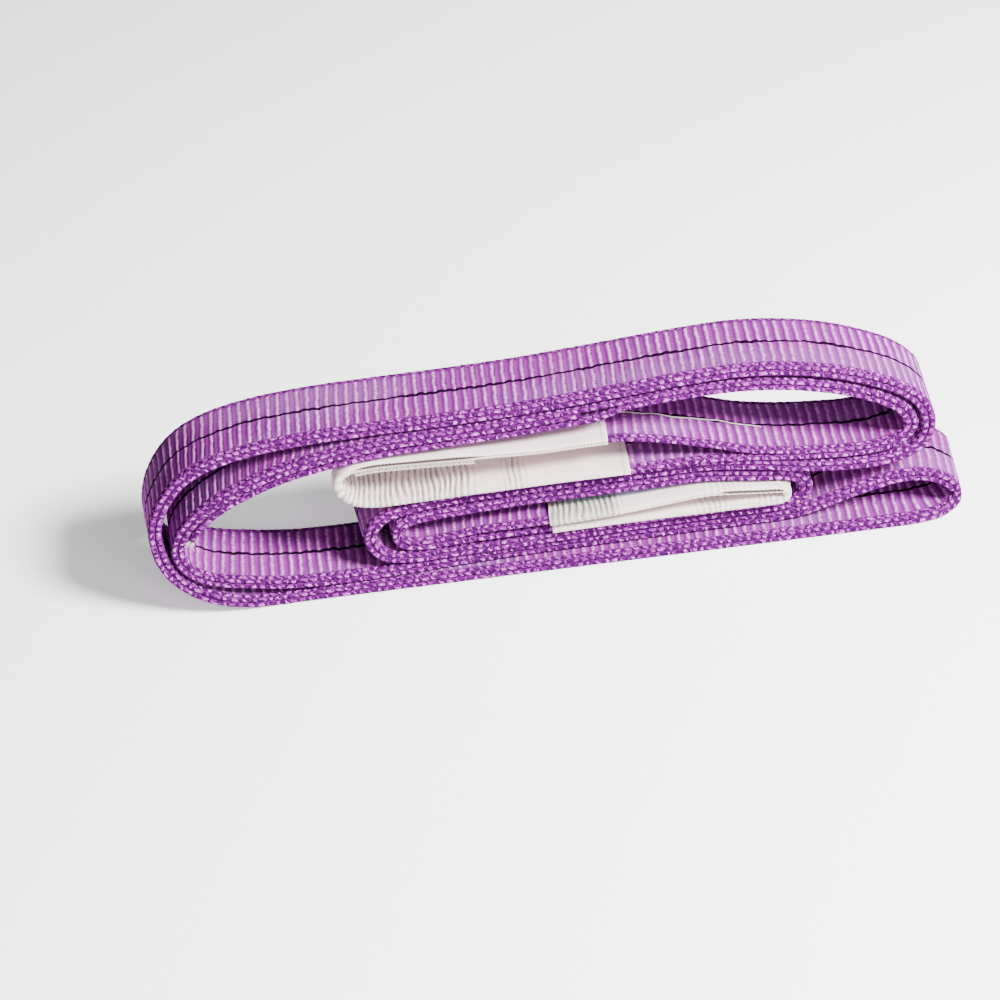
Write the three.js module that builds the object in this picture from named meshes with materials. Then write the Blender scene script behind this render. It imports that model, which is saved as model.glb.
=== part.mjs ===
// Flat web sling, 1 t: one long strip of webbing laid double and sewn to itself,
// with a soft eye at each end inside a white wear sleeve. The sling lies folded.
// Millimetres, +Z up. The web's width runs along Y and its folds turn about Y.
import * as THREE from 'three';

// Webbing
const WEB_WIDTH = 30;
const PLY = 2.05;               // thickness of one layer of webbing
const PLY_GAP = 0.8;            // space between two sewn layers, where the threads lie
const SELVEDGE = 0.8;           // how far the rounded edge runs in from the side
const PLY_SHIFT = (PLY + PLY_GAP) / 2;
const DOUBLE = 2 * PLY + PLY_GAP;

// Sleeves
const SLEEVE_WALL = 0.6;
const CLEARANCE = 0.3;
const SLEEVE_1_LENGTH = 209;
const SLEEVE_2_LENGTH = 176;     // pushed together a little on the second eye
const SLEEVE_1_SLID = -4;       // how far each sleeve has slid along its eye from the tip
const SLEEVE_2_SLID = 0;

// Threads
const THREAD_WIDTH = 1;
const THREAD_THICK = 0.2;
const SEAM_ROW = 11;            // distance of a row of stitches from the web's middle
const TACK_WIDTH = 19;
const TACK_INSET = 4;           // how far inside its throat a tack is
const SLEEVE_THREAD = 0.5;

// Splice, where the strip's two ends overlap
const SPLICE_START = 172;       // distance along the body from the first eye
const SPLICE_LENGTH = 158;
const SPLICE_STEP = 15;         // length over which the strip climbs over its own start
const COVERED_END = SPLICE_START + 3;
const SPLICE_END = SPLICE_START + SPLICE_LENGTH;
const SPLICE_SEAM_START = COVERED_END + 2;
const SPLICE_SEAM_END = SPLICE_END - 2;

// Label
const LABEL_WIDTH = 26;
const LABEL_THICK = 0.5;
const LABEL_LENGTH = 55;
const LABEL_START = 1687;

// How finely curves are stepped
const FINE_STEP = 0.4;
const MAX_TURN = THREE.MathUtils.degToRad(9);
const MAX_STEP = 14;

// The middle of the doubled web from the first eye to the second, by run and fold: X, Y, Z,
// and where the web's width isn't square to its run, the angle it is turned about Z.
const BODY_ROUTE = [
  // round the inner fold, upper right
  [86, 0, 37.9], [98, 0, 36.7], [110.5, 0, 36], [121.3, 0, 37], [128.5, 0, 40.2, -1],
  [131, 0, 45, -1], [128.4, 0, 51, -1], [122, 0, 56.3], [112.3, 0, 61.3], [101, 0, 65.3],
  // back along the top, second layer
  [86, 0, 68.8], [69, 0, 70.6], [47, 0, 70.1], [21, 0, 68], [-8, -0.5, 66.4],
  [-35, -1, 65.6], [-57, -1.5, 65], [-76, -2, 63, 1], [-92.5, -2, 59.6, 2], [-107, -2, 54.6, 3],
  // round the inner fold, left
  [-121, -2.5, 47.8, 4], [-131.5, -3, 39.2, 5], [-136.3, -3.5, 30, 6], [-133.8, -4, 21.5, 6],
  [-125.8, -4, 15.6, 4],
  // along the bottom, second layer
  [-112.5, -4, 12.2, 3], [-98, -3.5, 9.5, 1], [-80, -2.5, 8], [-60, -1.5, 7.65], [-20, 1, 7.65],
  [38, 2.5, 7.65], [69, 3, 7.65], [81, 3, 7.7], [91, 3, 8.8], [101, 3, 11.7],
  [116.3, 2.5, 16.9, -1],
  // round the lone fold, lower right
  [130, 2, 19.7, -2], [140.4, 1.5, 18.1, -3], [147, 1, 13, -3], [147.2, 0.5, 7.7, -3],
  [142.4, -0.6, 3.9, -2],
  // along the bottom, on the ground
  [133, -2, 2.8, -1], [120, -2.16, 2.52], [108, -2.2, 2.45], [104, -2.22, 2.45],
  [-84, -3.18, 2.45], [-88, -3.2, 2.45],
  [-96, -3.44, 2.5, 1], [-105, -3.79, 2.7, 3], [-114.5, -4.6, 3.8, 5],
  // round the outer fold, left
  [-125, -5, 7, 7], [-135, -4.5, 13.1, 9], [-141.6, -4, 21.5, 10], [-143.8, -3.5, 30.5, 9],
  [-142.6, -3, 41, 6], [-138, -2.5, 50.6, 5], [-131, -1.5, 58.4, 4], [-120.5, -1, 64.4, 3],
  // along the top, outermost
  [-104.5, -0.5, 68.4, 2], [-84, 0, 70.3, 1], [-60, 0, 71], [-35, 0, 71.2], [-7, 0, 72],
  [22, 0, 74], [48, 0, 76], [70, 0, 76.8], [86.5, 0, 75.2], [102.5, 0, 71.6],
  // round the outer fold, upper right
  [116.8, 0, 66.1], [127.8, 0, 60], [134.8, 0, 52.8, -1], [137.2, 0, 44.8, -1],
  [135.4, 0, 37.4, -1], [130, 0, 32.7], [120.3, 0, 30.2],
  // back under the first eye
  [107, 0, 30], [91, 0, 31.8], [74.5, 0.5, 34.8], [58, 1, 36.5], [30.5, 1.5, 36.3],
  [-4, 1.5, 36], [-34, 0.5, 35.8, 1], [-50, -0.5, 34.9, 4],
  // round the outer turn of the roll, left
  [-62.6, -1, 31.4, 7], [-68.2, -1.5, 24, 9], [-63.8, -2, 15.8, 7], [-52.5, -1.5, 13, 3],
  // under the second eye
  [-39, -1, 12.85], [0, 0.5, 12.85], [39, 2, 12.85], [64, 2.5, 12.85], [77, 2.5, 12.85],
  // round its tip
  [85, 2.5, 13.4], [90.5, 2.3, 15.9], [92.8, 2.1, 20.2], [90.6, 1.9, 24.8], [85, 1.7, 27.4],
  // over the second eye
  [74.5, 1.5, 28.9], [57.5, 1.5, 31.3], [30, 1.5, 31.1], [-4.5, 1.5, 30.8], [-32, 0.7, 30.3],
  // round the inner turn of the roll, left
  [-44, 0.3, 29.8, 3], [-52, -0.3, 29, 5], [-56.2, -0.8, 27.2, 7], [-57.9, -1, 23.6, 8],
  [-56.2, -1.2, 20, 7], [-52, -1.3, 18.4, 5], [-47, -1.3, 18.05, 3], [-42, -1, 18.05, 2],
];

// The middle of the single layer round each eye, from one side of the body to the other.
const EYE_1_ROUTE = [
  [71.5, -0.5, 38.9], [59, -1, 40.5], [42, -1.5, 41], [30, -2, 41.3], [3, -2, 41.2],
  [-27, -2, 40.8], [-49, -2, 40.3], [-62.5, -2, 40.4], [-69.5, -2, 42.3], [-73.8, -2, 46.7],
  [-74.2, -1.7, 51.7], [-70, -1.3, 55.6], [-62.5, -1, 56.8], [-46, -1, 56.5], [-24, -1, 55.5],
  [-2, -1, 54.6], [24, -1, 54.9], [39, -0.8, 52.3], [59, -0.5, 46.4], [72, -0.5, 42.2],
];
const EYE_2_ROUTE = [
  [-35, -1, 20], [-26, -1, 21.1], [-15, -1.5, 21.6], [-2, -2, 22.2], [22, -2, 23.4], [40, -1.5, 24.9],
  [56, -1, 26.1], [67, -0.5, 25], [77, 0, 23.5], [82.6, 0, 22.95], [84.6, 0, 22.2],
  [85.4, 0, 20.4], [84.6, 0, 18.6], [82.6, 0, 17.85], [77, 0, 17.65], [59, 0, 17.6],
  [30, 0, 17.6], [0, -0.5, 17.6], [-24, -1, 17.6], [-32, -1, 17.3],
];

// ---- Curves -------------------------------------------------------------------------

const ACROSS = new THREE.Vector3(0, 1, 0);
const UP = new THREE.Vector3(0, 0, 1);

function turnAt(route, t) {
  const along = t * (route.length - 1);
  const before = Math.min(Math.floor(along), route.length - 2);
  const share = THREE.MathUtils.smoothstep(along - before, 0, 1);
  return THREE.MathUtils.lerp(route[before][3] ?? 0, route[before + 1][3] ?? 0, share);
}

// Stations along a route: place, heading, width direction and the normal on its left.
function stationsOf(route) {
  const points = route.map(([x, y, z]) => new THREE.Vector3(x, y, z));
  const curve = new THREE.CatmullRomCurve3(points, false, 'centripetal');
  const count = Math.round(curve.getLength() / FINE_STEP);
  curve.arcLengthDivisions = 4 * count;
  curve.updateArcLengths();
  const length = curve.getLength();
  const stations = [];
  for (let i = 0; i <= count; i += 1) {
    const t = curve.getUtoTmapping(i / count);
    const heading = curve.getTangent(t);
    const across = ACROSS.clone().applyAxisAngle(UP, THREE.MathUtils.degToRad(turnAt(route, t)));
    const width = across.addScaledVector(heading, -across.dot(heading)).normalize();
    const normal = new THREE.Vector3().crossVectors(heading, width);
    stations.push({ at: length * i / count, place: curve.getPoint(t), heading, width, normal });
  }
  return stations;
}

// Keeps a station where the curve has turned or run far enough since the last one kept,
// and at each mark, so that everything laid along the curve shares the same stations.
function thinned(stations, marks) {
  const last = stations[stations.length - 1];
  const kept = [stations[0]];
  for (const station of stations.slice(1, -1)) {
    const previous = kept[kept.length - 1];
    const turned = previous.heading.angleTo(station.heading) > MAX_TURN;
    const far = station.at - previous.at > MAX_STEP;
    const marked = marks.some((mark) => Math.abs(mark - station.at) <= FINE_STEP / 2);
    const nearEnd = last.at - station.at < 2 * FINE_STEP;
    if ((turned || far || marked) && !nearEnd) kept.push(station);
  }
  return [...kept, last];
}

// The same stations moved sideways: left along the normal, and along the width.
function shifted(stations, left, along = 0) {
  return stations.map((s) => {
    const amount = typeof left === 'function' ? left(s.at) : left;
    const place = s.place.clone().addScaledVector(s.normal, amount).addScaledVector(s.width, along);
    return { ...s, place };
  });
}

// The same stations walked the other way.
function reversed(stations) {
  return stations.map((s) => ({
    ...s, heading: s.heading.clone().negate(), normal: s.normal.clone().negate(),
  })).reverse();
}

// The stations between two places, which are marks of that curve.
function between(stations, from, to) {
  return stations.filter((s) => s.at >= from - FINE_STEP && s.at <= to + FINE_STEP);
}

// ---- Sections, as [across, out] points going round anticlockwise ----------------------

function webSection(width, thickness, edge) {
  const w = width / 2;
  const t = thickness / 2;
  return [[-w, 0], [-w + edge, -t], [w - edge, -t], [w, 0], [w - edge, t], [-w + edge, t]];
}

function barSection(width, thickness) {
  const w = width / 2;
  const t = thickness / 2;
  return [[-w, -t], [w, -t], [w, t], [-w, t]];
}

function diamondSection(size) {
  const r = size / 2;
  return [[-r, 0], [0, -r], [r, 0], [0, r]];
}

// ---- Sweeps ---------------------------------------------------------------------------

function ringOf(station, section) {
  return section.map(([across, out]) => station.place.clone()
    .addScaledVector(station.width, across)
    .addScaledVector(station.normal, out));
}

function geometryOf(points, triangles) {
  const geometry = new THREE.BufferGeometry();
  const positions = points.flatMap((p) => p.toArray());
  geometry.setAttribute('position', new THREE.Float32BufferAttribute(positions, 3));
  geometry.setIndex(triangles.flat());
  geometry.computeVertexNormals();
  return geometry;
}

// The skin between neighbouring rings that start at vertex `first`, facing out or in.
function skin(rings, sides, first, faceIn) {
  const triangles = [];
  for (let i = 0; i < rings - 1; i += 1) {
    for (let j = 0; j < sides; j += 1) {
      const a = first + i * sides + j;
      const b = first + i * sides + (j + 1) % sides;
      const c = b + sides;
      const d = a + sides;
      triangles.push(faceIn ? [a, c, b] : [a, b, c], faceIn ? [a, d, c] : [a, c, d]);
    }
  }
  return triangles;
}

function sweepSolid(stations, section) {
  const sides = section.length;
  const points = stations.flatMap((s) => ringOf(s, section));
  const triangles = skin(stations.length, sides, 0, false);
  const end = points.length - sides;
  for (let j = 1; j < sides - 1; j += 1) {
    triangles.push([0, j + 1, j], [end, end + j, end + j + 1]);
  }
  return geometryOf(points, triangles);
}

function sweepTube(stations, outer, inner) {
  const sides = outer.length;
  const rings = stations.length;
  const ringsOf = (section) => stations.flatMap((s) => ringOf(s, section));
  const points = [...ringsOf(outer), ...ringsOf(inner)];
  const inside = rings * sides;
  const triangles = [...skin(rings, sides, 0, false), ...skin(rings, sides, inside, true)];
  const end = (rings - 1) * sides;
  for (let j = 0; j < sides; j += 1) {
    const k = (j + 1) % sides;
    triangles.push([j, inside + j, inside + k], [j, inside + k, k]);
    triangles.push([end + j, end + k, inside + end + k], [end + j, inside + end + k, inside + end + j]);
  }
  return geometryOf(points, triangles);
}

// ---- Routes of the pieces ---------------------------------------------------------------

const climbMarks = [1, 2 / 3, 1 / 3, 0].map((share) => SPLICE_START - share * SPLICE_STEP);
const bodyFine = stationsOf(BODY_ROUTE);
const bodyLength = bodyFine[bodyFine.length - 1].at;
const tacksAt = [TACK_INSET, bodyLength - TACK_INSET - THREAD_WIDTH];
const bodyMarks = [
  ...climbMarks, COVERED_END, SPLICE_SEAM_START, SPLICE_SEAM_END, SPLICE_END,
  LABEL_START, LABEL_START + LABEL_LENGTH, ...tacksAt, ...tacksAt.map((at) => at + THREAD_WIDTH),
];
const body = thinned(bodyFine, bodyMarks);
const rightPly = shifted(body, -PLY_SHIFT);
const leftPly = shifted(body, PLY_SHIFT);

// An eye: the single layer's stations, joined to the two layers of the body at its throat,
// and the part of them that its sleeve covers, centred on the tip or slid along from it.
function makeEye(from, route, to, tipSide, length, slid) {
  const fine = stationsOf([from.place.toArray(), ...route, to.place.toArray()]);
  const reach = (station) => tipSide * station.place.x;
  const tip = fine.reduce((best, station) => (reach(station) > reach(best) ? station : best));
  const start = tip.at + slid - length / 2;
  const end = start + length;
  const layer = thinned(fine, [start, end]);
  return { layer, sleeve: between(layer, start, end) };
}

const last = body.length - 1;
const eyeEnds1 = [rightPly[0], EYE_1_ROUTE, leftPly[0]];
const eyeEnds2 = [leftPly[last], EYE_2_ROUTE, rightPly[last]];
const eye1 = makeEye(...eyeEnds1, -1, SLEEVE_1_LENGTH, SLEEVE_1_SLID);
const eye2 = makeEye(...eyeEnds2, 1, SLEEVE_2_LENGTH, SLEEVE_2_SLID);

// Offset of the top layer at the splice: it climbs from the left layer to a third one.
function climb(at) {
  const share = THREE.MathUtils.smoothstep(at, SPLICE_START - SPLICE_STEP, SPLICE_START);
  return PLY_SHIFT + share * (PLY + PLY_GAP);
}

// From the covered end out along the left layer, round the second eye, back along the
// right layer, round the first eye, and on over the covered end.
function webRoute() {
  const outward = between(leftPly, COVERED_END, bodyLength);
  const homeward = reversed(rightPly);
  const overlap = between(shifted(body, climb), 0, SPLICE_END);
  return [...outward, ...eye2.layer.slice(1, -1), ...homeward, ...eye1.layer.slice(1, -1), ...overlap];
}

// ---- Pieces -------------------------------------------------------------------------------

function colour(hex, roughness) {
  return new THREE.MeshStandardMaterial({ color: hex, roughness, metalness: 0 });
}

const VIOLET = 0x8c4aa8;
const WHITE = 0xd9d0cc;
const BLACK = 0x2b1830;
const BLUE = 0x2c5fa8;

const sling = new THREE.Group();

function addPiece(name, geometry, hex, roughness) {
  const mesh = new THREE.Mesh(geometry, colour(hex, roughness));
  mesh.name = name;
  sling.add(mesh);
}

function makeSleeve(stations) {
  const space = PLY + 2 * CLEARANCE;
  const inner = webSection(WEB_WIDTH + 2 * CLEARANCE, space, SELVEDGE);
  const outer = webSection(WEB_WIDTH + 2 * CLEARANCE + 2 * SLEEVE_WALL, space + 2 * SLEEVE_WALL, SELVEDGE);
  return sweepTube(stations, outer, inner);
}

function makeSleeveSeam(stations) {
  const edge = WEB_WIDTH / 2 + SLEEVE_WALL + 2 * CLEARANCE + SLEEVE_THREAD / 2;
  return sweepSolid(shifted(stations, 0, -edge), diamondSection(SLEEVE_THREAD));
}

function makeSeamRow(stations, left, side) {
  return sweepSolid(shifted(stations, left, side * SEAM_ROW), barSection(THREAD_WIDTH, THREAD_THICK));
}

function makeTack(at) {
  return sweepSolid(between(body, at, at + THREAD_WIDTH), barSection(TACK_WIDTH, THREAD_THICK));
}

function makeLabel() {
  const left = DOUBLE / 2 + CLEARANCE + LABEL_THICK / 2;
  const route = between(body, LABEL_START, LABEL_START + LABEL_LENGTH);
  return sweepSolid(shifted(route, left), barSection(LABEL_WIDTH, LABEL_THICK));
}

addPiece('web_strip', sweepSolid(webRoute(), webSection(WEB_WIDTH, PLY, SELVEDGE)), VIOLET, 0.6);
addPiece('label', makeLabel(), BLUE, 0.6);
for (const [number, eye] of [[1, eye1], [2, eye2]]) {
  addPiece(`eye_${number}_sleeve`, makeSleeve(eye.sleeve), WHITE, 0.7);
  addPiece(`eye_${number}_sleeve_seam`, makeSleeveSeam(eye.sleeve), WHITE, 0.8);
  addPiece(`eye_${number}_throat_tack`, makeTack(tacksAt[number - 1]), WHITE, 0.8);
}

const joined = body.slice(1, -1);
const spliced = between(body, SPLICE_SEAM_START, SPLICE_SEAM_END);
for (const [name, side] of [['front', -1], ['rear', 1]]) {
  addPiece(`body_seam_${name}`, makeSeamRow(joined, 0, side), BLACK, 0.8);
  addPiece(`splice_seam_${name}`, makeSeamRow(spliced, PLY_SHIFT + (PLY + PLY_GAP) / 2, side), BLACK, 0.8);
}

// The origin is under the middle of the sling, on the ground that it lies on.
const box = new THREE.Box3().setFromObject(sling, true);
const middle = box.getCenter(new THREE.Vector3());
sling.position.set(-middle.x, -middle.y, -box.min.z);

export default sling;
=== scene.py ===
"""A folded flat web sling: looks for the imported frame."""

import math

import bpy
import numpy as np
from mathutils import Matrix, Vector


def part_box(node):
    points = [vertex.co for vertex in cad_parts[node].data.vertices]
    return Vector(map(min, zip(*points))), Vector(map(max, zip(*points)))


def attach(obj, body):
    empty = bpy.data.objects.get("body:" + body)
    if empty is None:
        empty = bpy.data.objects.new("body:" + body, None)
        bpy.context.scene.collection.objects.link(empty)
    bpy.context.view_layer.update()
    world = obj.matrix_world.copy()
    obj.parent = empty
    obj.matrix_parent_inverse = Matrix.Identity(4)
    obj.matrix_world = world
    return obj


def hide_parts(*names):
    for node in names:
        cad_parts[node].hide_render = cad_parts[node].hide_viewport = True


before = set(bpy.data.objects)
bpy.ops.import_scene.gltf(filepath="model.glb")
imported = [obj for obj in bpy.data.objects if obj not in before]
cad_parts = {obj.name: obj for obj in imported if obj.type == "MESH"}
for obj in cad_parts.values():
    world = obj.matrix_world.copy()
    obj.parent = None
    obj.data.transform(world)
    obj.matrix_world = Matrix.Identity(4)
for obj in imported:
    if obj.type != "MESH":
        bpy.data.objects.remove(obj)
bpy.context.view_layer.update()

# ---- Sizes, in millimetres ------------------------------------------------------

MM = 0.001
WEB_WIDTH = 30.0
CAD_PLY = 2.05
CAD_GAP = 0.8             # space between two sewn layers
CAD_SELVEDGE = 0.8        # how far the rounded edge runs in from the side
CAD_PLY_SHIFT = (CAD_PLY + CAD_GAP) / 2
PLY = 2.32                # the soft layer swells a little into the sewn gap
PLY_SHIFT = 1.22
RIB = 3.5                 # pitch of the ribs across the web's faces
RIB_HEIGHT = 0.2
LOOP = 3.2                # pitch of the knitted loops along the web's edges
LOOP_HEIGHT = 0.2
LOOP_ROW = 2.0            # width of one row of loops
STEP = 0.5                # spacing of the rings along the web
FINE_STEP = 0.4           # spacing of the stations along a route
SMOOTHINGS = 6            # rounds of averaging that ease the strip where its parts join
SPLICE_START = 172.0
SPLICE_LENGTH = 158.0
SPLICE_STEP = 15.0
COVERED_END = SPLICE_START + 3
SPLICE_END = SPLICE_START + SPLICE_LENGTH
SLEEVE_LENGTHS = (209.0, 176.0)
SLEEVE_SLID = (-4.0, 0.0)   # how far each sleeve has slid along its eye from the tip
SLEEVE_WALL = 0.6
SLEEVE_HALF_WIDTH = WEB_WIDTH / 2 + 0.9
SLEEVE_HALF_THICK = CAD_PLY / 2 + 0.9
SLEEVE_RIB = 2.1
LABEL = (26.0, 55.0, 0.5)   # width, length and thickness
LABEL_GAP = 0.3
LABEL_START = 1687.0

# ---- Route of the doubled web: X, Y, Z and the turn of its width about Z --------

BODY_ROUTE = [
    # round the inner fold, upper right
    (86, 0, 37.9), (98, 0, 36.7), (110.5, 0, 36), (121.3, 0, 37), (128.5, 0, 40.2, -1),
    (131, 0, 45, -1), (128.4, 0, 51, -1), (122, 0, 56.3), (112.3, 0, 61.3), (101, 0, 65.3),
    # back along the top, second layer
    (86, 0, 68.8), (69, 0, 70.6), (47, 0, 70.1), (21, 0, 68), (-8, -0.5, 66.4),
    (-35, -1, 65.6), (-57, -1.5, 65), (-76, -2, 63, 1), (-92.5, -2, 59.6, 2), (-107, -2, 54.6, 3),
    # round the inner fold, left
    (-121, -2.5, 47.8, 4), (-131.5, -3, 39.2, 5), (-136.3, -3.5, 30, 6), (-133.8, -4, 21.5, 6),
    (-125.8, -4, 15.6, 4),
    # along the bottom, second layer
    (-112.5, -4, 12.2, 3), (-98, -3.5, 9.5, 1), (-80, -2.5, 8), (-60, -1.5, 7.65), (-20, 1, 7.65),
    (38, 2.5, 7.65), (69, 3, 7.65), (81, 3, 7.7), (91, 3, 8.8), (101, 3, 11.7),
    (116.3, 2.5, 16.9, -1),
    # round the lone fold, lower right
    (130, 2, 19.7, -2), (140.4, 1.5, 18.1, -3), (147, 1, 13, -3), (147.2, 0.5, 7.7, -3),
    (142.4, -0.6, 3.9, -2),
    # along the bottom, on the ground
    (133, -2, 2.8, -1), (120, -2.16, 2.52), (108, -2.2, 2.45), (104, -2.22, 2.45),
    (-84, -3.18, 2.45), (-88, -3.2, 2.45),
    (-96, -3.44, 2.5, 1), (-105, -3.79, 2.7, 3), (-114.5, -4.6, 3.8, 5),
    # round the outer fold, left
    (-125, -5, 7, 7), (-135, -4.5, 13.1, 9), (-141.6, -4, 21.5, 10), (-143.8, -3.5, 30.5, 9),
    (-142.6, -3, 41, 6), (-138, -2.5, 50.6, 5), (-131, -1.5, 58.4, 4), (-120.5, -1, 64.4, 3),
    # along the top, outermost
    (-104.5, -0.5, 68.4, 2), (-84, 0, 70.3, 1), (-60, 0, 71), (-35, 0, 71.2), (-7, 0, 72),
    (22, 0, 74), (48, 0, 76), (70, 0, 76.8), (86.5, 0, 75.2), (102.5, 0, 71.6),
    # round the outer fold, upper right
    (116.8, 0, 66.1), (127.8, 0, 60), (134.8, 0, 52.8, -1), (137.2, 0, 44.8, -1),
    (135.4, 0, 37.4, -1), (130, 0, 32.7), (120.3, 0, 30.2),
    # back under the first eye
    (107, 0, 30), (91, 0, 31.8), (74.5, 0.5, 34.8), (58, 1, 36.5), (30.5, 1.5, 36.3),
    (-4, 1.5, 36), (-34, 0.5, 35.8, 1), (-50, -0.5, 34.9, 4),
    # round the outer turn of the roll, left
    (-62.6, -1, 31.4, 7), (-68.2, -1.5, 24, 9), (-63.8, -2, 15.8, 7), (-52.5, -1.5, 13, 3),
    # under the second eye
    (-39, -1, 12.85), (0, 0.5, 12.85), (39, 2, 12.85), (64, 2.5, 12.85), (77, 2.5, 12.85),
    # round its tip
    (85, 2.5, 13.4), (90.5, 2.3, 15.9), (92.8, 2.1, 20.2), (90.6, 1.9, 24.8), (85, 1.7, 27.4),
    # over the second eye
    (74.5, 1.5, 28.9), (57.5, 1.5, 31.3), (30, 1.5, 31.1), (-4.5, 1.5, 30.8), (-32, 0.7, 30.3),
    # round the inner turn of the roll, left
    (-44, 0.3, 29.8, 3), (-52, -0.3, 29, 5), (-56.2, -0.8, 27.2, 7), (-57.9, -1, 23.6, 8),
    (-56.2, -1.2, 20, 7), (-52, -1.3, 18.4, 5), (-47, -1.3, 18.05, 3), (-42, -1, 18.05, 2),
]
EYE_1_ROUTE = [
    (71.5, -0.5, 38.9), (59, -1, 40.5), (42, -1.5, 41), (30, -2, 41.3), (3, -2, 41.2),
    (-27, -2, 40.8), (-49, -2, 40.3), (-62.5, -2, 40.4), (-69.5, -2, 42.3), (-73.8, -2, 46.7),
    (-74.2, -1.7, 51.7), (-70, -1.3, 55.6), (-62.5, -1, 56.8), (-46, -1, 56.5), (-24, -1, 55.5),
    (-2, -1, 54.6), (24, -1, 54.9), (39, -0.8, 52.3), (59, -0.5, 46.4), (72, -0.5, 42.2),
]
EYE_2_ROUTE = [
    (-35, -1, 20), (-26, -1, 21.1), (-15, -1.5, 21.6), (-2, -2, 22.2), (22, -2, 23.4), (40, -1.5, 24.9),
    (56, -1, 26.1), (67, -0.5, 25), (77, 0, 23.5), (82.6, 0, 22.95), (84.6, 0, 22.2),
    (85.4, 0, 20.4), (84.6, 0, 18.6), (82.6, 0, 17.85), (77, 0, 17.65), (59, 0, 17.6),
    (30, 0, 17.6), (0, -0.5, 17.6), (-24, -1, 17.6), (-32, -1, 17.3),
]


# ---- Curves -----------------------------------------------------------------------


def smooth(x):
    """A soft step from 0 to 1 as x goes from 0 to 1."""
    x = np.clip(x, 0, 1)
    return x * x * (3 - 2 * x)


def bump(x, middle, spread):
    """A hump of height 1 round the middle."""
    return np.exp(-(((x - middle) / spread) ** 2))


def unit(v):
    return v / np.linalg.norm(v, axis=-1, keepdims=True)


def catmull_rom(route, samples=48):
    """A centripetal Catmull-Rom curve through the route's points: places and turns."""
    points = np.array([p[:3] for p in route], float)
    turns = np.array([p[3] if len(p) > 3 else 0.0 for p in route])
    ends = 2 * points[[0]] - points[[1]], 2 * points[[-1]] - points[[-2]]
    padded = np.vstack([ends[0], points, ends[1]])
    gaps = np.linalg.norm(np.diff(padded, axis=0), axis=1) ** 0.5
    t = np.linspace(0, 1, samples, endpoint=False)[:, None]
    places, angles = [], []
    for i in range(len(points) - 1):
        a, b, c, d = padded[i : i + 4]
        before, here, after = gaps[i : i + 3]
        start = (b - a) / before - (c - a) / (before + here) + (c - b) / here
        stop = (c - b) / here - (d - b) / (here + after) + (d - c) / after
        start, stop = start * here, stop * here
        places.append(
            b + start * t + (-3 * b + 3 * c - 2 * start - stop) * t**2
            + (2 * b - 2 * c + start + stop) * t**3
        )
        angles.append(turns[i] + (turns[i + 1] - turns[i]) * smooth(t[:, 0]))
    return np.vstack([*places, points[-1:]]), np.append(np.concatenate(angles), turns[-1])


def along(places):
    """The distance along a line of points."""
    return np.concatenate([[0], np.cumsum(np.linalg.norm(np.diff(places, axis=0), axis=1))])


def resampled(at, columns, spots):
    """Rows of numbers given at some distances, worked out at other distances."""
    return np.stack([np.interp(spots, at, c) for c in columns.T], axis=1)


class Line:
    """Stations along a curve: place, width direction and the normal on its left."""

    def __init__(self, places, turns):
        self.at = along(places)
        self.place = places
        self.turn = turns
        heading = unit(np.gradient(places, axis=0))
        angle = np.radians(turns)
        across = np.stack([-np.sin(angle), np.cos(angle), 0 * angle], axis=1)
        width = across - heading * (across * heading).sum(1, keepdims=True)
        self.width = unit(width)
        self.normal = np.cross(heading, self.width)
        self.heading = heading

    def shifted(self, left):
        """The line's places, moved to the left."""
        return self.place + self.normal * np.broadcast_to(left, self.at.shape)[:, None]

    def part(self, start, stop):
        """The stretch between two distances, with evenly spaced stations."""
        spots = start + STEP * np.arange(round((stop - start) / STEP))
        packed = resampled(self.at, np.column_stack([self.place, self.turn]), spots)
        return Line(packed[:, :3], packed[:, 3])


def fine_line(route):
    """The line of a route, finely stepped."""
    places, turns = catmull_rom(route)
    at = along(places)
    spots = np.linspace(0, at[-1], int(at[-1] / FINE_STEP) + 1)
    packed = resampled(at, np.column_stack([places, turns]), spots)
    return Line(packed[:, :3], packed[:, 3])


BODY = fine_line(BODY_ROUTE)


def eye_line(route, end, first):
    """The middle of an eye's layer, joined on at one end of the body, from its first side."""
    side, other = (BODY.shifted(s * PLY_SHIFT)[end] for s in (first, -first))
    return fine_line([tuple(side), *route, tuple(other)])


EYE_1 = eye_line(EYE_1_ROUTE, 0, -1)
EYE_2 = eye_line(EYE_2_ROUTE, -1, 1)


def web_line():
    """The middle of the whole strip, from its covered end to its lapped end."""
    climb = smooth((BODY.at - (SPLICE_START - SPLICE_STEP)) / SPLICE_STEP)
    left, right = BODY.shifted(PLY_SHIFT), BODY.shifted(-PLY_SHIFT)
    top = BODY.shifted(PLY_SHIFT + climb * 2 * CAD_PLY_SHIFT)
    out, over = BODY.at >= COVERED_END, BODY.at <= SPLICE_END
    places = np.vstack([
        left[out], EYE_2.place[1:-1], right[::-1], EYE_1.place[1:-1], top[over],
    ])
    turns = np.concatenate([
        BODY.turn[out], EYE_2.turn[1:-1], BODY.turn[::-1], EYE_1.turn[1:-1], BODY.turn[over],
    ])
    at = along(places)
    spots = np.linspace(0, at[-1], int(at[-1] / STEP) + 1)
    packed = resampled(at, np.column_stack([places, turns]), spots)
    for _ in range(SMOOTHINGS):
        packed[1:-1] = 0.25 * packed[:-2] + 0.5 * packed[1:-1] + 0.25 * packed[2:]
    return Line(packed[:, :3], packed[:, 3])


WEB = web_line()


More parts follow.
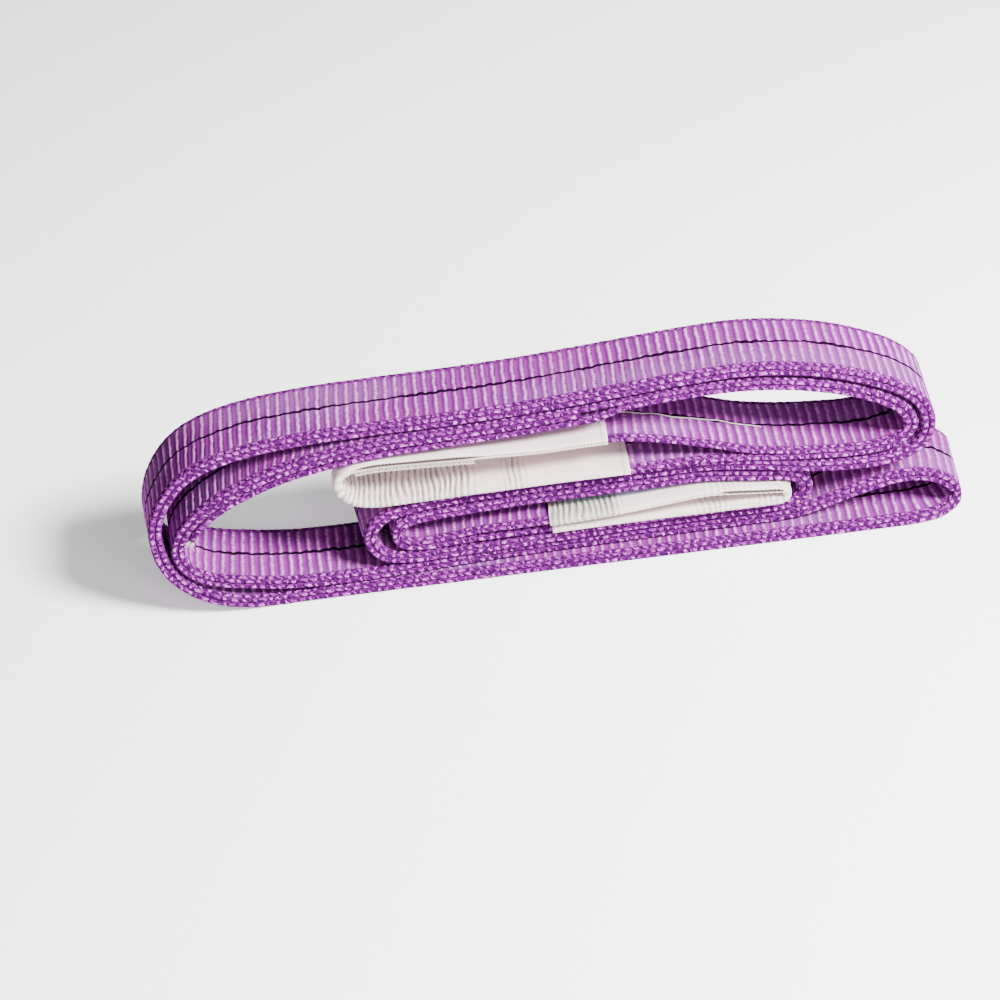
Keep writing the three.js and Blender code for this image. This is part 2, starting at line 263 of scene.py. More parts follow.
def raw_box():
    """The plain strip's own box, which shows where the CAD frame puts its origin."""
    body = [BODY.shifted(s * CAD_PLY_SHIFT) for s in (-1, 1)]
    corners = [
        p + a * WEB_WIDTH / 2 * BODY.width for p in body for a in (-1, 1)
    ] + [
        p + n * CAD_PLY / 2 * BODY.normal + a * (WEB_WIDTH / 2 - CAD_SELVEDGE) * BODY.width
        for p in body for a in (-1, 1) for n in (-1, 1)
    ]
    corners = np.vstack(corners)
    return corners.min(0), corners.max(0)


RAW_LO, RAW_HI = raw_box()
NODE_LO, NODE_HI = (np.array(c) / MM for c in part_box("web_strip"))
SHIFT = np.array([*((NODE_LO + NODE_HI) / 2 - (RAW_LO + RAW_HI) / 2)[:2], NODE_LO[2] - RAW_LO[2]])

# ---- Meshes -------------------------------------------------------------------------


def add_mesh(name, points, faces, material, weave=None, relief=None, smooth_faces=True):
    """A new object from points in route millimetres."""
    mesh = bpy.data.meshes.new(name)
    points = (np.asarray(points, float) + SHIFT) * MM
    faces = np.asarray(faces, np.int32)
    mesh.vertices.add(len(points))
    mesh.vertices.foreach_set("co", points.astype(np.float32).ravel())
    corners = faces.shape[1]
    mesh.loops.add(faces.size)
    mesh.loops.foreach_set("vertex_index", faces.ravel())
    mesh.polygons.add(len(faces))
    mesh.polygons.foreach_set("loop_start", np.arange(0, faces.size, corners, dtype=np.int32))
    mesh.polygons.foreach_set("loop_total", np.full(len(faces), corners, np.int32))
    mesh.update(calc_edges=True)
    mesh.validate()
    if smooth_faces:
        mesh.polygons.foreach_set("use_smooth", np.ones(len(mesh.polygons), bool))
    for title, numbers in (("weave", weave), ("relief", relief)):
        if numbers is not None:
            layer = mesh.attributes.new(title, "FLOAT_VECTOR", "POINT")
            layer.data.foreach_set("vector", np.asarray(numbers, np.float32).ravel())
    mesh.materials.append(material)
    piece = bpy.data.objects.new(name, mesh)
    bpy.context.scene.collection.objects.link(piece)
    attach(piece, "root")
    return piece


def tube_faces(rings, sides, closed_ends=True, first=0):
    """Quads between neighbouring rings, and end caps of quads that mirror across."""
    i, j = np.meshgrid(np.arange(rings - 1), np.arange(sides), indexing="ij")
    k = (j + 1) % sides
    quads = np.stack([i * sides + j, i * sides + k, (i + 1) * sides + k, (i + 1) * sides + j], -1)
    quads = quads.reshape(-1, 4)
    if closed_ends:
        half = sides // 2
        caps = [(j, sides - 1 - j, sides - 2 - j, j + 1) for j in range(half - 1)]
        start = np.array(caps)
        end = start[:, ::-1] + (rings - 1) * sides
        quads = np.vstack([quads, start, end])
    return quads + first


def swept(line, across, out):
    """Points of rings on a line: across and out are (stations, sides), in millimetres."""
    return (
        line.place[:, None, :]
        + line.width[:, None, :] * across[..., None]
        + line.normal[:, None, :] * out[..., None]
    ).reshape(-1, 3)


# ---- The webbing -----------------------------------------------------------------------


def web_profile(width, thick):
    """Half of a ring, front edge to rear edge over the top: across, out, distance from mid-edge."""
    rim = thick / 2
    bulge = rim * 0.8
    corner = width / 2 - bulge
    round_edge = 1.7
    edge = [(-width / 2, 0.0, 0.0)]
    for angle, q in ((30, 0.55), (60, 1.15)):
        a = math.radians(angle)
        edge.append((-corner - bulge * math.cos(a), rim * math.sin(a), q))
    edge += [(-corner + more, rim, round_edge + more) for more in (0.0, 0.85, 1.7)]
    face = [(a, rim, corner + a + round_edge) for a in (-9.0, -4.5, 0.0)]
    top = np.array(edge + face)
    rear = top[::-1][1:] * np.array([-1, 1, 1])
    return np.vstack([top, rear])


def loops_height(s, q):
    """Height of the knitted loops, 0 to 1: rows of strands with three-cornered pits between them."""
    across = q / LOOP_ROW + 0.5
    row = np.floor(across)
    part = across - row
    slip = 0.16 * np.sin(s * 0.43 + q * 1.9) + 0.12 * np.sin(s * 1.07 - q * 2.7)
    strand = 0.5 + 0.5 * np.cos(2 * math.pi * (s / LOOP + 0.5 * row + 0.3 * across + slip))
    size = 0.8 + 0.3 * np.sin(s * 0.71 + q * 2.3) * np.sin(s * 0.19 + 1.0)
    return size * (1 - 0.9 * smooth((1 - strand - 0.6 * part - 0.1) / 0.45))


def web_mesh(name, line, thick, material):
    """A strip of webbing with ribs over its faces and knitted loops along its edges.

    Its "weave" holds the distance along, the distance across from the middle, and the distance
    from mid-edge round to the point, which is negative on the underside.
    """
    half = web_profile(WEB_WIDTH, thick)
    under = half[::-1][1:-1] * np.array([1, -1, 1])
    ring = np.vstack([half, under])
    s = line.at[:, None]
    a, n, q = (np.broadcast_to(ring[:, k], (len(line.at), len(ring))) for k in range(3))
    slow = 0.35 * np.sin(s / 31 + a * 0.11) + 0.25 * np.sin(s / 11.3 - a * 0.19)
    rib = (0.5 + 0.5 * np.cos(2 * math.pi * (s + slow) / RIB)) ** 2
    flat = smooth((q - 3.0) / 3.0)
    lift = RIB_HEIGHT * (rib - 0.55) * flat
    side = q * np.sign(n)
    loops = LOOP_HEIGHT * (loops_height(s, side) - 0.45) * (1 - smooth((q - 2.8) / 1.0))
    rim = smooth((1.75 - q) / 1.75)
    across = a + np.sign(a) * rim * loops
    out = n + np.sign(n) * (lift + (1 - rim * 0.6) * loops)
    points = swept(line, across, out)
    weave = np.stack([np.broadcast_to(s, a.shape), a, side], -1).reshape(-1, 3)
    faces = tube_faces(len(line.at), len(ring))
    return add_mesh(name, points, faces, material, weave)


# ---- Materials -----------------------------------------------------------------------------


class Value:
    """A number in a material's nodes: arithmetic on it adds Math nodes."""

    def __init__(self, tree, socket):
        self.tree, self.socket = tree, socket

    def math(self, operation, *others):
        node = self.tree.nodes.new("ShaderNodeMath")
        node.operation = operation
        for slot, value in zip(node.inputs, (self, *others), strict=False):
            if isinstance(value, Value):
                self.tree.links.new(value.socket, slot)
            else:
                slot.default_value = value
        return Value(self.tree, node.outputs[0])

    def __add__(self, other):
        return self.math("ADD", other)

    def __sub__(self, other):
        return self.math("SUBTRACT", other)

    def __mul__(self, other):
        return self.math("MULTIPLY", other)

    def __truediv__(self, other):
        return self.math("DIVIDE", other)

    def __pow__(self, other):
        return self.math("POWER", other)

    def invert(self):
        """One minus the value."""
        return (self * -1.0) + 1.0

    def wave(self, pitch):
        """A cosine of the given pitch, from 0 to 1."""
        return (self * (2 * math.pi / pitch)).math("COSINE") * 0.5 + 0.5

    def ramp(self, low, high):
        """A soft step from 0 at low to 1 at high, either way round."""
        node = self.tree.nodes.new("ShaderNodeMapRange")
        node.interpolation_type = "SMOOTHSTEP"
        node.inputs["From Min"].default_value = low
        node.inputs["From Max"].default_value = high
        self.tree.links.new(self.socket, node.inputs["Value"])
        return Value(self.tree, node.outputs["Result"])


class Look:
    """A Principled material that is built up from values."""

    def __init__(self, name, roughness=0.6, sheen=0.0, specular=0.3):
        self.material = bpy.data.materials.new(name)
        self.material.use_nodes = True
        self.tree = self.material.node_tree
        self.shader = self.tree.nodes["Principled BSDF"]
        self.shader.inputs["Roughness"].default_value = roughness
        self.shader.inputs["Sheen Weight"].default_value = sheen
        self.shader.inputs["Sheen Roughness"].default_value = 0.4
        self.shader.inputs["Specular IOR Level"].default_value = specular

    def weave(self, name="weave"):
        """Three numbers that the mesh carries at each point."""
        node = self.tree.nodes.new("ShaderNodeAttribute")
        node.attribute_name = name
        parts = self.tree.nodes.new("ShaderNodeSeparateXYZ")
        self.tree.links.new(node.outputs["Vector"], parts.inputs[0])
        return [Value(self.tree, o) for o in parts.outputs]

    def place(self):
        """The point's own place on its object, in metres."""
        node = self.tree.nodes.new("ShaderNodeTexCoord")
        return node.outputs["Object"]

    def vector(self, x, y, z=0.0):
        """One vector from three values or numbers."""
        node = self.tree.nodes.new("ShaderNodeCombineXYZ")
        for slot, value in zip(node.inputs, (x, y, z), strict=True):
            if isinstance(value, Value):
                self.tree.links.new(value.socket, slot)
            else:
                slot.default_value = value
        return node.outputs[0]

    def noise(self, vector, scale, detail=2.0):
        """Soft noise from 0 to 1."""
        node = self.tree.nodes.new("ShaderNodeTexNoise")
        node.inputs["Scale"].default_value = scale
        node.inputs["Detail"].default_value = detail
        self.tree.links.new(vector, node.inputs["Vector"])
        return Value(self.tree, node.outputs["Fac"])

    def mix(self, factor, first, second):
        """A colour between two others; each may be a value, a socket or a tuple."""
        node = self.tree.nodes.new("ShaderNodeMix")
        node.data_type = "RGBA"
        node.clamp_factor = True
        for value, slot in ((factor, node.inputs[0]), (first, node.inputs[6]), (second, node.inputs[7])):
            if isinstance(value, Value):
                self.tree.links.new(value.socket, slot)
            elif isinstance(value, bpy.types.NodeSocket):
                self.tree.links.new(value, slot)
            else:
                slot.default_value = (*value, 1) if isinstance(value, tuple) else value
        return node.outputs[2]

    def finish(self, colour, height=None, distance=0.0002):
        """Sets the colour and fine relief, in metres, and returns the material."""
        if isinstance(colour, tuple):
            self.shader.inputs["Base Color"].default_value = (*colour, 1)
        else:
            self.tree.links.new(colour, self.shader.inputs["Base Color"])
        if height is not None:
            bump = self.tree.nodes.new("ShaderNodeBump")
            bump.inputs["Distance"].default_value = distance
            self.tree.links.new(height.socket, bump.inputs["Height"])
            self.tree.links.new(bump.outputs[0], self.shader.inputs["Normal"])
        return self.material


# painted shade in the pits between the knitted loops
PIT_SHADE = (0.034, 0.003, 0.05)
# painted shade beside the ribs, and random darker streaks
VIOLET_DEEP = (0.050, 0.003, 0.072)
VIOLET = (0.145, 0.013, 0.165)
VIOLET_BLUE = (0.115, 0.022, 0.19)
ORCHID = (0.21, 0.020, 0.20)
VIOLET_LIGHT = (0.40, 0.08, 0.42)
# painted highlight on the ribs and on the knitted loops' crests
GLINT = (0.70, 0.27, 0.67)
LILAC_GREY = (0.17, 0.09, 0.24)
TRACER = (0.008, 0.002, 0.011)


def web_look():
    """Violet webbing: ribbed faces with a dark tracer, between knitted edges."""
    look = Look("web_violet", 0.5, specular=0.0)
    s, a, side = look.weave()
    q = side.math("ABSOLUTE")
    wander = look.noise(look.vector(s * 0.07, a * 0.24), 1.0)
    patch = look.noise(look.vector(s * 0.035 + 7.0, a * 0.05), 1.0)
    fine = look.noise(look.vector(s * 1.4, a * 2.6), 1.0, 3.0)
    grain = look.noise(look.vector(s * 1.3, a * 0.9, side * 0.8), 1.0, 2.0)
    loose = look.noise(look.vector(s * 0.42, a * 0.3, side * 0.5), 1.0, 1.0)
    streak = look.noise(look.vector(s * 0.25, a * 3.2), 1.0, 2.0)
    # faces: narrow bright ribs of short stitches between broad satin bands; the ribs' brightness is a
    # painted highlight
    jag = (a.wave(1.45) - 0.5) * 0.34 + (fine - 0.5) * 0.9
    ragged = patch.ramp(0.38, 0.62)
    centre = s + (wander - 0.5) * 1.1 + jag * ragged
    rib = centre.wave(RIB) ** 3.0
    dashes = (a + (wander - 0.5) * 0.6).wave(0.78)
    rib_highlight = rib * ((dashes * 0.75 + 0.25) * ragged + ragged.invert() * 0.8)
    # random greyish lilac patches over the faces
    grey_drift = look.noise(look.vector(s * 0.018 + 3.0, a * 0.03), 1.0).ramp(0.45, 0.62)
    # painted shade in the hollow beside each rib, which also dips the relief a little
    shaded_hollow = (s + RIB * 0.32 + (wander - 0.5) * 1.1).wave(RIB) ** 3.0
    band = look.mix(patch.ramp(0.3, 0.75), VIOLET, ORCHID)
    band = look.mix(wander.ramp(0.42, 0.8) * 0.55, band, VIOLET_BLUE)
    band = look.mix(shaded_hollow * 0.65 + streak.ramp(0.5, 0.85) * 0.2, band, VIOLET_DEEP)
    band = look.mix((streak.ramp(0.45, 0.2)) * 0.16, band, VIOLET_LIGHT)
    band = look.mix(grey_drift * 0.3, band, LILAC_GREY)
    face_colour = look.mix(rib_highlight * (loose.ramp(0.25, 0.7) * 0.55 + 0.4), band, GLINT)
    # edges: rows of slanting knitted strands, with painted shade in the three-cornered pits between them
    # and painted sheen and glints on their crests
    slip = (loose - 0.5) * 1.5 + (grain - 0.5) * 0.6
    rows = side / LOOP_ROW + (grain - 0.5) * 0.9 + 0.5
    row = rows.math("FLOOR")
    part = rows - row
    strand = (s / LOOP + row * 0.5 + rows * 0.3 + slip).wave(1.0)
    deep = grain.ramp(0.3, 0.6) * 0.4 + 0.6
    shaded_pit = (strand.invert() - part * 0.55).ramp(0.08, 0.5) * deep
    crest = strand * (part - 0.45).math("ABSOLUTE").ramp(0.5, 0.1)
    lit = loose.ramp(0.4, 0.62)
    yarn = (s * 0.9 + side * 1.6 + (grain - 0.5) * 2.0).wave(0.75)
    sheen = crest.ramp(0.1, 0.8) * (lit * 0.35 + 0.25) * (yarn * 0.6 + 0.4)
    knit_colour = look.mix(sheen, VIOLET, VIOLET_LIGHT)
    knit_colour = look.mix(crest.ramp(0.5, 0.95) * lit * (yarn * 0.7 + 0.1), knit_colour, GLINT)
    knit_colour = look.mix(shaded_pit, knit_colour, PIT_SHADE)
    knit = shaded_pit.invert() * 0.7 + crest * 0.4 + yarn * 0.08
    face = (q + (grain - 0.5) * 2.2).ramp(2.7, 3.9)
    colour = look.mix(face, knit_colour, face_colour)
    # the tracer in the middle of each face
    sway = (s.wave(RIB) - 0.5) * 0.55 + (s.wave(2.3 * RIB) - 0.5) * 0.4 + (wander - 0.5) * 2.2
    off = (a + sway).math("ABSOLUTE")
    line = off.ramp(0.85, 0.5) * q.ramp(6.0, 7.0)
    colour = look.mix(line, colour, TRACER)
    face_height = rib * 0.85 + rib * dashes * 0.3 + streak * 0.14 - shaded_hollow * 0.15
    knit_height = knit + grain * 0.25
    height = face_height * face + knit_height * face.invert() - line * 0.3
    return look.finish(colour, height, 0.0005)


SLEEVE_WHITE = (0.66, 0.545, 0.55)
SLEEVE_SHADE = (0.34, 0.26, 0.25)
SLEEVE_GREEN = (0.36, 0.38, 0.31)
# painted shade for the sleeves' rib grooves, creases and seam gape
SLEEVE_PAINTED_SHADE = (0.030, 0.018, 0.015)


def sleeve_look(name, green):
    """Off-white ribbed cloth; the mesh carries distance along, across and out, and its relief.

    The relief is how ribbed the cloth is, how much painted shade darkens its creases and how wide
    the painted shade line of its seam's gape is. Where green is true, the ribs at the sleeve's start
    are greenish and crossed by pale threads.
    """
    look = Look(name, 0.62, 0.2)
    s, a, out = look.weave()
    ribbed, crease_shade, slit_shade = look.weave("relief")
    rib = s.wave(SLEEVE_RIB)
    fine = look.noise(look.vector(s * 1.2, a * 1.2), 1.0, 3.0)
    uneven = look.noise(look.vector(s * 0.45, a * 0.16), 1.0).ramp(0.3, 0.6) * 0.6 + 0.4
    threads = a.wave(0.55) * 0.5 + s.wave(0.5) * 0.5
    slow = look.noise(look.vector(s * 0.06, a * 0.1), 1.0)
    # painted shade in the grooves between the ribs that show through the cloth
    groove_shade = rib.invert() ** 2.2 * ribbed * uneven
    cloth = SLEEVE_WHITE
    if green:
        cloth = look.mix(ribbed.ramp(0.5, 1.0) * s.ramp(30.0, 26.0) * 0.85, SLEEVE_WHITE, SLEEVE_GREEN)
        groove_shade = groove_shade * ((a + fine * 0.6).wave(1.5) * 0.7 + 0.3)
    colour = look.mix(slow.ramp(0.35, 0.75) * 0.14, cloth, SLEEVE_SHADE)
    colour = look.mix(groove_shade * 0.8, colour, SLEEVE_PAINTED_SHADE)
    # painted shade in the pleats' creases, and a dark line about 2 mm in from each end
    colour = look.mix(crease_shade * 0.45, colour, SLEEVE_PAINTED_SHADE)
    colour = look.mix(fine * threads * 0.14, colour, SLEEVE_SHADE)
    # painted shade: a dark line along the front edge where the seam gapes
    gap = (out - 0.1 + (fine - 0.5) * 0.3).math("ABSOLUTE")
    dark = (slit_shade + (s.wave(1.1) - 0.5) * 0.3 - gap).ramp(0.0, 0.15) * a.ramp(-14.0, -15.0)
    colour = look.mix(dark, colour, SLEEVE_PAINTED_SHADE)
    height = rib * ribbed * uneven * 0.9 + threads * 0.12 + fine * 0.15 - dark * 0.4
    return look.finish(colour, height, 0.0004)


def thread_look(name, colour, pale):
    """Twisted thread that goes between two colours."""
    look = Look(name, 0.55, 0.2)
    place = look.place()
    twist = look.noise(place, 4000.0, 1.0)
    return look.finish(look.mix(twist.ramp(0.35, 0.65), colour, pale), twist, 0.00008)


def label_look():
    """Blue woven label, blank."""
    look = Look("label_blue", 0.6, 0.1)
    place = look.place()
    weave = look.noise(place, 2500.0, 2.0)
    return look.finish(look.mix(weave, (0.03, 0.09, 0.27), (0.06, 0.16, 0.4)), weave, 0.00006)


def floor_look():
    """Plain, almost white floor, which gives off a little light of its own."""
    look = Look("floor_pale", 0.7)
    grain = look.noise(look.place(), 6.0, 2.0)
    look.shader.inputs["Emission Color"].default_value = (1, 1, 1, 1)
    look.shader.inputs["Emission Strength"].default_value = 0.5
    return look.finish(look.mix(grain, (0.95, 0.95, 0.95), (0.97, 0.97, 0.97)))


# ---- Camera and light -----------------------------------------------------------------------

LOOK_AT = (-18.0, -4.0, 25.0)
CAMERA_ELEVATION = 38.5
CAMERA_ROLL = 7.0
CAMERA_DISTANCE = 920.0
LENS_IN_WIDTHS = 2.53
SENSOR = 36.0
LIGHTS_AT = (0.0, 0.0, 0.04)
FLOOR_REACH = 6.0


def add_camera():
    """A camera in front of the sling, looking down, with its right side rolled down."""
    e, r = math.radians(CAMERA_ELEVATION), math.radians(CAMERA_ROLL)
    back = Vector((0, -math.cos(e), math.sin(e)))
    right = Vector((1, 0, 0))
    up = back.cross(right)
    x = right * math.cos(r) - up * math.sin(r)
    y = right * math.sin(r) + up * math.cos(r)
    data = bpy.data.cameras.new("camera")
    data.sensor_width = SENSOR
    data.lens = LENS_IN_WIDTHS * data.sensor_width
    camera = bpy.data.objects.new("camera", data)
    place = (Vector(LOOK_AT) + Vector(SHIFT)) * MM + back * CAMERA_DISTANCE * MM
    camera.matrix_world = Matrix.Translation(place) @ Matrix((x, y, back)).transposed().to_4x4()
    bpy.context.scene.collection.objects.link(camera)
    bpy.context.scene.camera = camera


def add_area(name, place, size, power, colour):
    """A round lamp that points at the sling."""
    data = bpy.data.lights.new(name, "AREA")
    data.shape = "DISK"
    data.size = size
    data.energy = power
    data.color = colour
    light = bpy.data.objects.new(name, data)
    light.location = place
    light.rotation_mode = "QUATERNION"
    light.rotation_quaternion = (Vector(LIGHTS_AT) - Vector(place)).to_track_quat("-Z", "Y")
    bpy.context.scene.collection.objects.link(light)


def add_stage():
    """The floor, a dim even surround, a strong light on the right and a weak one in front."""
    mesh = bpy.data.meshes.new("floor")
    corners = [(x * FLOOR_REACH, y * FLOOR_REACH, 0) for x, y in ((-1, -1), (1, -1), (1, 1), (-1, 1))]
    mesh.from_pydata(corners, [], [(0, 1, 2, 3)])
    mesh.materials.append(floor_look())
    floor = bpy.data.objects.new("floor", mesh)
    bpy.context.scene.collection.objects.link(floor)
    world = bpy.data.worlds.new("studio")
    world.use_nodes = True
    world.node_tree.nodes["Background"].inputs["Color"].default_value = (0.95, 0.96, 1.0, 1)
    world.node_tree.nodes["Background"].inputs["Strength"].default_value = 0.12
    bpy.context.scene.world = world
    add_area("key", (0.72, -0.5, 0.85), size=0.36, power=92.0, colour=(1.0, 0.98, 0.97))
    add_area("fill", (0.35, -0.95, 0.6), size=0.5, power=7.0, colour=(1.0, 0.98, 0.98))


add_camera()
add_stage()

# ---- The web -----------------------------------------------------------------------------------

WEB_MATERIAL = web_look()
web = web_mesh("web", WEB, PLY, WEB_MATERIAL)
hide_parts("web_strip")

# ---- The sleeves --------------------------------------------------------------------------------


def sleeve_part(eye, side, length, slid):
    """The stretch of an eye that its sleeve covers; side is 1 where the eye's tip points to +X."""
    tip = eye.at[np.argmax(eye.place[:, 0] * side)]
    start = tip + slid - length / 2
    return eye.part(start, start + length)


def sleeve_ring(half_width, half_thick, sides=28):
    """A flattened loop with full sides, going round anticlockwise from the front edge."""
    ring = []
    for k in range(sides):
        angle = 2 * math.pi * k / sides
        c, sn = math.cos(angle), math.sin(angle)
        a = -half_width * math.copysign(abs(c) ** 0.62, c)
        n = -half_thick * math.copysign(abs(sn) ** 0.42, sn)
        ring.append((a, n))
    return np.array(ring)


def sleeve_mesh(name, line, ribbed, slit_shade, material):
    """A thin-walled tube: ribbed(at) says where its ribs stand out, and the seam function how wide a line
    of painted shade along its seam is, standing in for the seam's gape.
    """
    s = line.at[:, None]
    outer = sleeve_ring(SLEEVE_HALF_WIDTH, SLEEVE_HALF_THICK)
    inner = sleeve_ring(SLEEVE_HALF_WIDTH - SLEEVE_WALL, SLEEVE_HALF_THICK - SLEEVE_WALL)
    count, sides = len(line.at), len(outer)
    shape = (count, sides)
    a, n = (np.broadcast_to(outer[:, k], shape) for k in range(2))
    warped = s + 0.35 * np.sin(a * 0.33 + s / 6.0) + 0.3 * np.sin(s / 3.7) + 0.2 * np.sin(s / 1.9 + a * 0.2)
    mask = np.broadcast_to(ribbed(s), shape)
    rib = 0.5 + 0.5 * np.cos(2 * math.pi * warped / SLEEVE_RIB)
    face = smooth((SLEEVE_HALF_WIDTH - 1.5 - np.abs(a)) / 2.0)
    ripple = 0.09 * np.sin(s / 9.0 + a * 0.25) + 0.07 * np.sin(s / 4.3 - a * 0.31)
    end = np.minimum(s, line.at[-1] - s)
    hem = 0.12 * (1 - smooth((end - 1.8) / 0.4))
    bend = bump(s, line.at[-1] / 2, 8.0)
    fan = np.sin((s - 0.55 * np.abs(a + 3)) * 2.0 + a * 0.35)
    pleat = bend * fan
    lift = (rib - 0.7) * mask * 0.5 * face + (ripple + 0.42 * pleat) * (0.35 + 0.65 * face) + hem
    points_out = swept(line, a, n + np.sign(n) * lift)
    b, m = (np.broadcast_to(inner[:, k], shape) for k in range(2))
    points_in = swept(line, b, m)
    outside = tube_faces(count, sides, False)
    inside = tube_faces(count, sides, False, count * sides)[:, ::-1]
    j = np.arange(sides)
    k = (j + 1) % sides
    base = count * sides
    last = (count - 1) * sides
    start = np.stack([j, base + j, base + k, k], -1)
    stop = np.stack([last + j, last + k, base + last + k, base + last + j], -1)
    weave = np.stack([warped, a, n], -1).reshape(-1, 3)
    # where painted shade goes: the pleats' creases, and a line about 2 mm in from each end
    crease_shade = bend * smooth((-0.2 - fan) / 0.7) + 0.8 * bump(end, 2.1, 0.3)
    relief = np.stack([mask, crease_shade, np.broadcast_to(slit_shade(s), shape)], -1).reshape(-1, 3)
    points = np.vstack([points_out, points_in])
    faces = np.vstack([outside, inside, start, stop])
    return add_mesh(name, points, faces, material, np.tile(weave, (2, 1)), np.tile(relief, (2, 1)))


SLEEVE_1 = sleeve_part(EYE_1, -1, SLEEVE_LENGTHS[0], SLEEVE_SLID[0])
SLEEVE_2 = sleeve_part(EYE_2, 1, SLEEVE_LENGTHS[1], SLEEVE_SLID[1])
SLEEVE_1_END = EYE_1.at[np.argmin(EYE_1.place[:, 0])] + SLEEVE_SLID[0] + SLEEVE_LENGTHS[0] / 2


SHUT = 0.3                  # how far below 0 a seam's gape has to be for it to be shut


def ribs_1(s):
    """How ribbed the first sleeve is: from its lower leg's end at 0, round the tip at 108."""
    near_tip = smooth((s - 52.0) / 8.0) * (1 - smooth((s - 102.0) / 8.0))
    patch = 0.8 * bump(s, 41.0, 3.5)
    return np.clip(near_tip + patch + 0.03, 0, 1)


def slit_shade_1(s):
    """Half the width of the painted shade line that shows the upper leg's seam gape: open near the tip,
    closed to a fine line beyond.
    """
    gape = 0.95 * smooth((s - 112.0) / 12.0) * (1 - smooth((s - 155.0) / 20.0)) - SHUT
    return np.maximum(gape, 0.16 * smooth((s - 150.0) / 10.0) - SHUT * (s < 150))


def ribs_2(s):
    """How ribbed the second sleeve is: from its upper leg's end at 0, round the tip at 88."""
    start = 1 - smooth((s - 22.0) / 6.0)
    tip = 0.5 * bump(s, 62.0, 7.0)
    under = 0.9 * bump(s, 117.0, 6.0) + 0.8 * bump(s, 98.0, 6.0)
    return np.clip(start + tip + under + 0.03, 0, 1)


def slit_shade_2(s):
    """Half the width of the painted shade line that shows the upper leg's seam gape: open near the tip, a
    fine line before that.
    """
    gape = 0.95 * smooth((s - 56.0) / 10.0) * (1 - smooth((s - 83.0) / 5.0)) - SHUT
    return np.maximum(gape, 0.36 * smooth((s - 28.0) / 8.0) * (s < 88) - SHUT)


sleeves = []
for number, line, ribbed, slit_shade in ((1, SLEEVE_1, ribs_1, slit_shade_1), (2, SLEEVE_2, ribs_2, slit_shade_2)):
    cloth = sleeve_look(f"sleeve_white_{number}", number == 2)
    sleeve = sleeve_mesh(f"sleeve_{number}", line, ribbed, slit_shade, cloth)
    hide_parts(f"eye_{number}_sleeve")
    flat = (0.065, SLEEVE_LENGTHS[number - 1] * MM)
    sleeves.append(sleeve)

# ---- Threads -------------------------------------------------------------------------------------


def round_ring(sides):
    """Points on a circle of radius 1."""
    return np.array([(math.cos(t), math.sin(t)) for t in np.arange(sides) * 2 * math.pi / sides])


def stitches(name, line, across, out, length, gap, width, thick, material, slant=0.0):
    """A row of short rounded stitches along a line, as one mesh; each may slant outwards."""
    starts = np.arange(line.at[0] + gap, line.at[-1] - length, length + gap)
    ring = round_ring(6)
    size = np.array([0.35, 0.9, 1.0, 0.9, 0.35])[:, None, None]
    tilt = slant * np.linspace(-0.5, 0.5, len(size))[:, None, None]
    points, faces = [], []
    for start in starts:
        spots = start + length * np.linspace(0, 1, len(size))
        place, wide, up = (
            resampled(line.at, v, spots) for v in (line.place, line.width, line.normal)
        )
        a = across + ring[None, :, 0, None] * width / 2 * size
        n = out + ring[None, :, 1, None] * thick / 2 * size + tilt
        rings = place[:, None] + wide[:, None] * a + up[:, None] * n
        faces.append(tube_faces(len(size), len(ring), True, len(size) * len(ring) * len(points)))
        points.append(rings.reshape(-1, 3))
    return add_mesh(name, np.vstack(points), np.vstack(faces), material)


SLEEVE_THREAD = thread_look("sleeve_thread", (0.40, 0.34, 0.32), (0.68, 0.60, 0.58))
SEAM_THREAD = thread_look("seam_thread", (0.02, 0.008, 0.026), (0.06, 0.02, 0.08))
for number, line in ((1, SLEEVE_1), (2, SLEEVE_2)):
    row = stitches(
        f"sleeve_{number}_seam", line, -SLEEVE_HALF_WIDTH + 0.15, -0.85, 1.7, 0.7, 0.35, 0.35, SLEEVE_THREAD
    )
    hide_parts(f"eye_{number}_sleeve_seam")

# the braided row that hangs under the upper leg's open seam
BRAIDED = SLEEVE_1.part(117, 162)
for name, out, slant in (("braid_upper", -1.4, 0.9), ("braid_lower", -2.3, -0.9)):
    row = stitches(name, BRAIDED, -SLEEVE_HALF_WIDTH + 0.1, out, 1.5, -0.2, 0.5, 0.45, SLEEVE_THREAD, slant)

for name in ("eye_1_throat_tack", "eye_2_throat_tack"):
    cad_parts[name].material_slots[0].material = SLEEVE_THREAD
for name in ("body_seam_front", "body_seam_rear", "splice_seam_front", "splice_seam_rear"):
    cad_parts[name].material_slots[0].material = SEAM_THREAD


def loose_thread(name, line, across, out, thick, material):
    """A single thread lying along a line, wandering across it."""
    ring = round_ring(6) * thick / 2
    a = np.asarray(across)[:, None] + ring[None, :, 0]
    n = np.asarray(out)[:, None] + ring[None, :, 1]
    return add_mesh(name, swept(line, a, n), tube_faces(len(line.at), 6), material)


FIBRE_RADIUS = 0.09


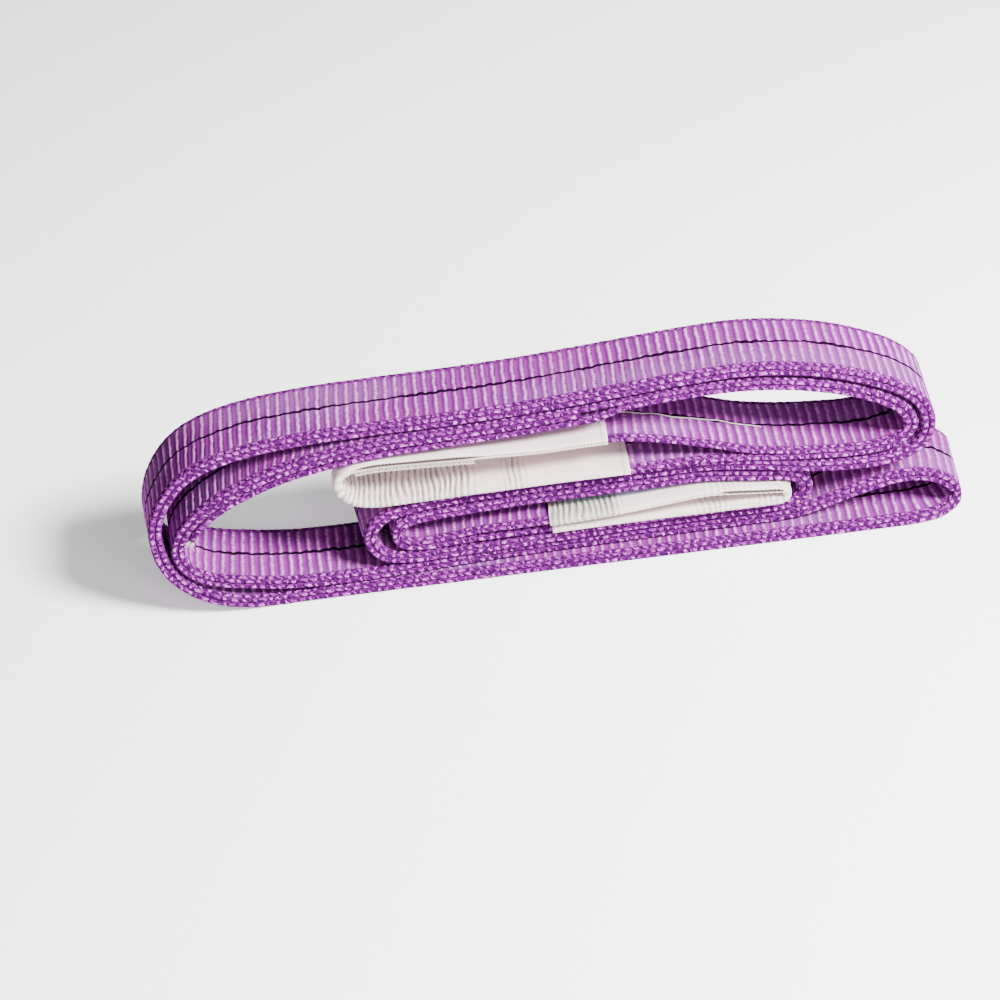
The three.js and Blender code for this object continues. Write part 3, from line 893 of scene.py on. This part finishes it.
def fray(name, line, across, count, material):
    """Short loose fibres standing out of the cut end of a line, between two places across it."""
    rng = np.random.default_rng(7)
    ring = round_ring(4) * FIBRE_RADIUS
    steps = 5
    way, wide, up = line.heading[-1], line.width[-1], line.normal[-1]
    points, faces = [], []
    for k in range(count):
        length = rng.uniform(1.5, 4.5)
        lean, rise = rng.normal(0, 0.45, 2)
        t = np.linspace(0, 1, steps)[:, None]
        start = line.place[-1] + wide * rng.uniform(*across) + up * rng.uniform(-0.9, 0.9)
        curl = wide * lean * t**2 + up * (rise * t**2)
        path = start + length * (way * (t - 0.3 * t**2) + curl)
        rings = path[:, None] + wide * ring[None, :, 0, None] + up * ring[None, :, 1, None]
        faces.append(tube_faces(steps, len(ring), True, steps * len(ring) * k))
        points.append(rings.reshape(-1, 3))
    return add_mesh(name, np.vstack(points), np.vstack(faces), material)


PALE_THREAD = thread_look("pale_thread", (0.42, 0.41, 0.34), (0.66, 0.62, 0.55))
EYE_1_BARE = EYE_1.part(SLEEVE_1_END + 3, SLEEVE_1_END + 58)
drift = EYE_1_BARE.at
loose = loose_thread(
    "throat_thread", EYE_1_BARE, -0.9 + 0.5 * np.sin(drift / 5.0) + 0.25 * np.sin(drift / 1.9),
    CAD_PLY / 2 + 0.42 + 0.08 * np.sin(drift / 2.3), 0.42, PALE_THREAD,
)
tuft = fray("splice_fray", WEB, (-15.0, -8.0), 110, PALE_THREAD)

# ---- The label --------------------------------------------------------------------------------------


def label_mesh():
    """A thin tag that lies on the hidden run over the second eye."""
    width, length, thick = LABEL
    line = BODY.part(LABEL_START, LABEL_START + length)
    line.place = line.place + line.normal * (CAD_PLY + CAD_GAP / 2 + LABEL_GAP + thick / 2)
    half = np.array([(a, thick / 2) for a in np.linspace(-width / 2, width / 2, 9)])
    ring = np.vstack([half, half[::-1] * (1, -1)])
    shape = (len(line.at), len(ring))
    a, n = (np.broadcast_to(ring[:, k], shape) for k in range(2))
    faces = tube_faces(len(line.at), len(ring))
    return add_mesh("label_tag", swept(line, a, n), faces, label_look(), smooth_faces=False)


label = label_mesh()
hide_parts("label")
